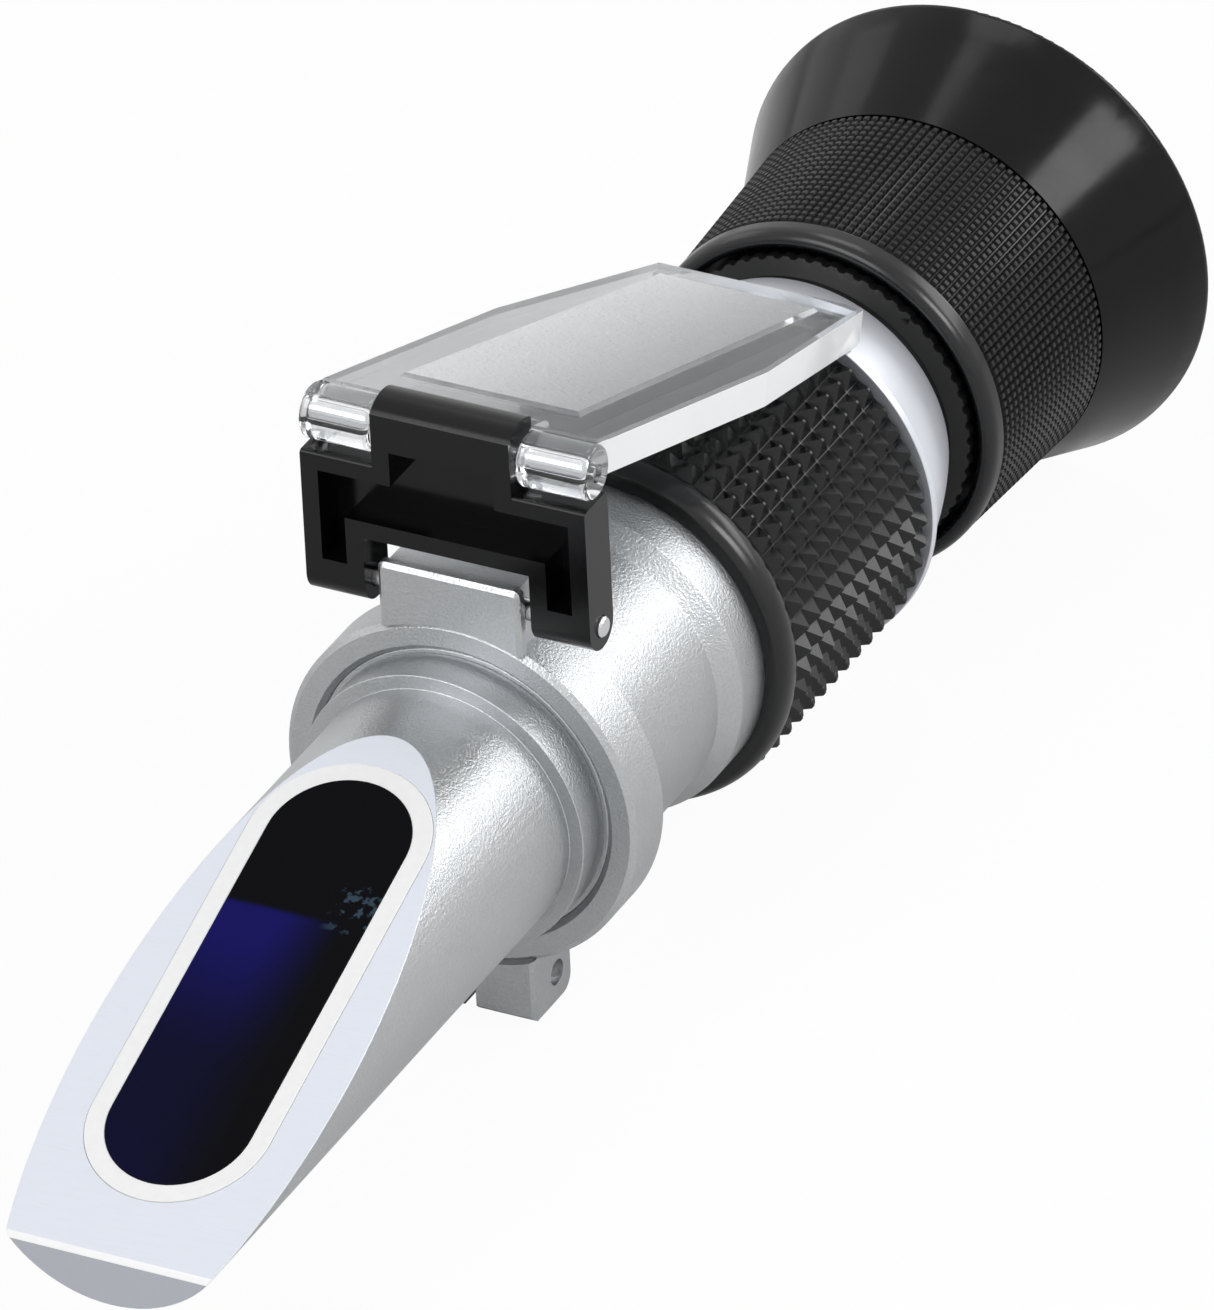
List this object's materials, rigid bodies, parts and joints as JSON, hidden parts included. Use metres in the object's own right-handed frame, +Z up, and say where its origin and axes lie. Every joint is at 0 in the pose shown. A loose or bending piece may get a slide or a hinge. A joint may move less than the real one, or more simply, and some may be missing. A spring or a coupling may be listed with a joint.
{
  "type": "handheld optical refractometer",
  "caption": "Handheld optical refractometer with a sloped prism nose, hinged clear daylight plate, ribbed grip, turning focus ring and flared eyecup.",
  "frame": {"origin": "under the middle of the instrument, on the surface that it lies on", "axes": "+Y along the optical axis from the prism nose to the eyecup, +Z up through the daylight plate's hinge, X across"},
  "size_m": [0.04, 0.148, 0.0533],
  "materials": {
    "sandblasted_alloy": "fine sand-blasted satin silver",
    "bright_alloy": "turned satin aluminium",
    "black_metal": "matt black inside finish",
    "bright_steel": "plated steel",
    "strip_steel": "rolled bimetal strip",
    "plain_brass": "machined",
    "prism_glass": "polished optical glass over a dark housing",
    "lens_glass": "polished optical glass",
    "clear_acrylic": "clear moulding with a frosted pad",
    "white_seal": "white sealing compound",
    "black_plastic": "glossy moulded black",
    "black_plastic_satin": "satin moulded black",
    "grip_rubber": "moulded rubber with pointed studs",
    "knurled_rubber": "matt rubber with a fine square knurl",
    "soft_rubber": "plain soft rubber",
    "cup_plastic": "smooth semi-gloss moulding"
  },
  "bodies": {
    "tube": {"prism_housing": "sandblasted_alloy", "main_prism": "prism_glass", "prism_bezel": "white_seal", "prism_mask": "black_metal", "prism_retainer": "black_metal", "housing_seal": "soft_rubber", "clamp_collar": "sandblasted_alloy", "clamp_screw": "bright_steel", "bracket_pin": "bright_steel", "barrel": "sandblasted_alloy", "grip_sleeve": "grip_rubber", "rear_ring": "bright_alloy", "eyepiece_tube": "black_metal", "serrated_ring": "black_plastic_satin", "reticle_ring": "black_metal", "reticle": "lens_glass", "reticle_retainer": "black_metal", "baffle_ring": "black_metal", "guide_ring": "black_metal", "calibration_bush": "bright_alloy"},
    "bracket": {"flap_bracket": "black_plastic", "plate_pin": "bright_steel"},
    "plate": {"daylight_plate": "clear_acrylic"},
    "adjuster": {"calibration_screw": "bright_steel"},
    "cap": {"calibration_cap": "soft_rubber"},
    "objective": {"adjuster_block": "plain_brass", "bimetal_strip": "strip_steel", "strip_rivets": "bright_steel", "objective_cell": "black_metal", "objective_lens": "lens_glass", "objective_retainer": "black_metal"},
    "eyepiece_cell": {"ocular_cell": "black_plastic_satin", "field_lens": "lens_glass", "lens_spacer": "black_metal", "eye_lens": "lens_glass", "eye_lens_retainer": "black_metal", "key_screw": "bright_steel"},
    "focus": {"focus_ring": "knurled_rubber", "cell_keeper": "black_metal", "eyecup": "cup_plastic"}
  },
  "joints": [
    {"name": "bracket_hinge", "type": "hinge", "parent": "tube", "child": "bracket", "pos_m": [0, -0.01467, 0.0369], "axis": [1, 0, 0], "range_deg": [0, 106.04]},
    {"name": "plate_hinge", "type": "hinge", "parent": "bracket", "child": "plate", "pos_m": [0, -0.01437, 0.0502], "axis": [1, 0, 0], "range_deg": [0, 112.44]},
    {"name": "eyepiece_slide", "type": "slide", "parent": "tube", "child": "eyepiece_cell", "axis": [0, 1, 0], "range_m": [-0.00152, 0.00302]},
    {"name": "focus_turn", "type": "hinge", "parent": "eyepiece_cell", "child": "focus", "pos_m": [0, 0.04469, 0.02], "axis": [0, 1, 0], "range_deg": [-90, 180]},
    {"name": "calibration_turn", "type": "hinge", "parent": "tube", "child": "adjuster", "pos_m": [0, -0.00677, 0.03328], "axis": [0, 0, 1], "range_deg": [-190, 190]},
    {"name": "objective_shift", "type": "slide", "parent": "tube", "child": "objective", "axis": [0, 0, 1], "range_m": [-0.0002, 0.0002]},
    {"name": "cap_pull", "type": "slide", "parent": "tube", "child": "cap", "axis": [0, 0, 1], "range_m": [0, 0.006]}
  ],
  "couplings": [
    {"joint": "eyepiece_slide", "follows": "focus_turn", "m_per_rad": 0.00095493},
    {"joint": "calibration_turn", "follows": "objective_shift", "rad_per_m": -15708}
  ]
}
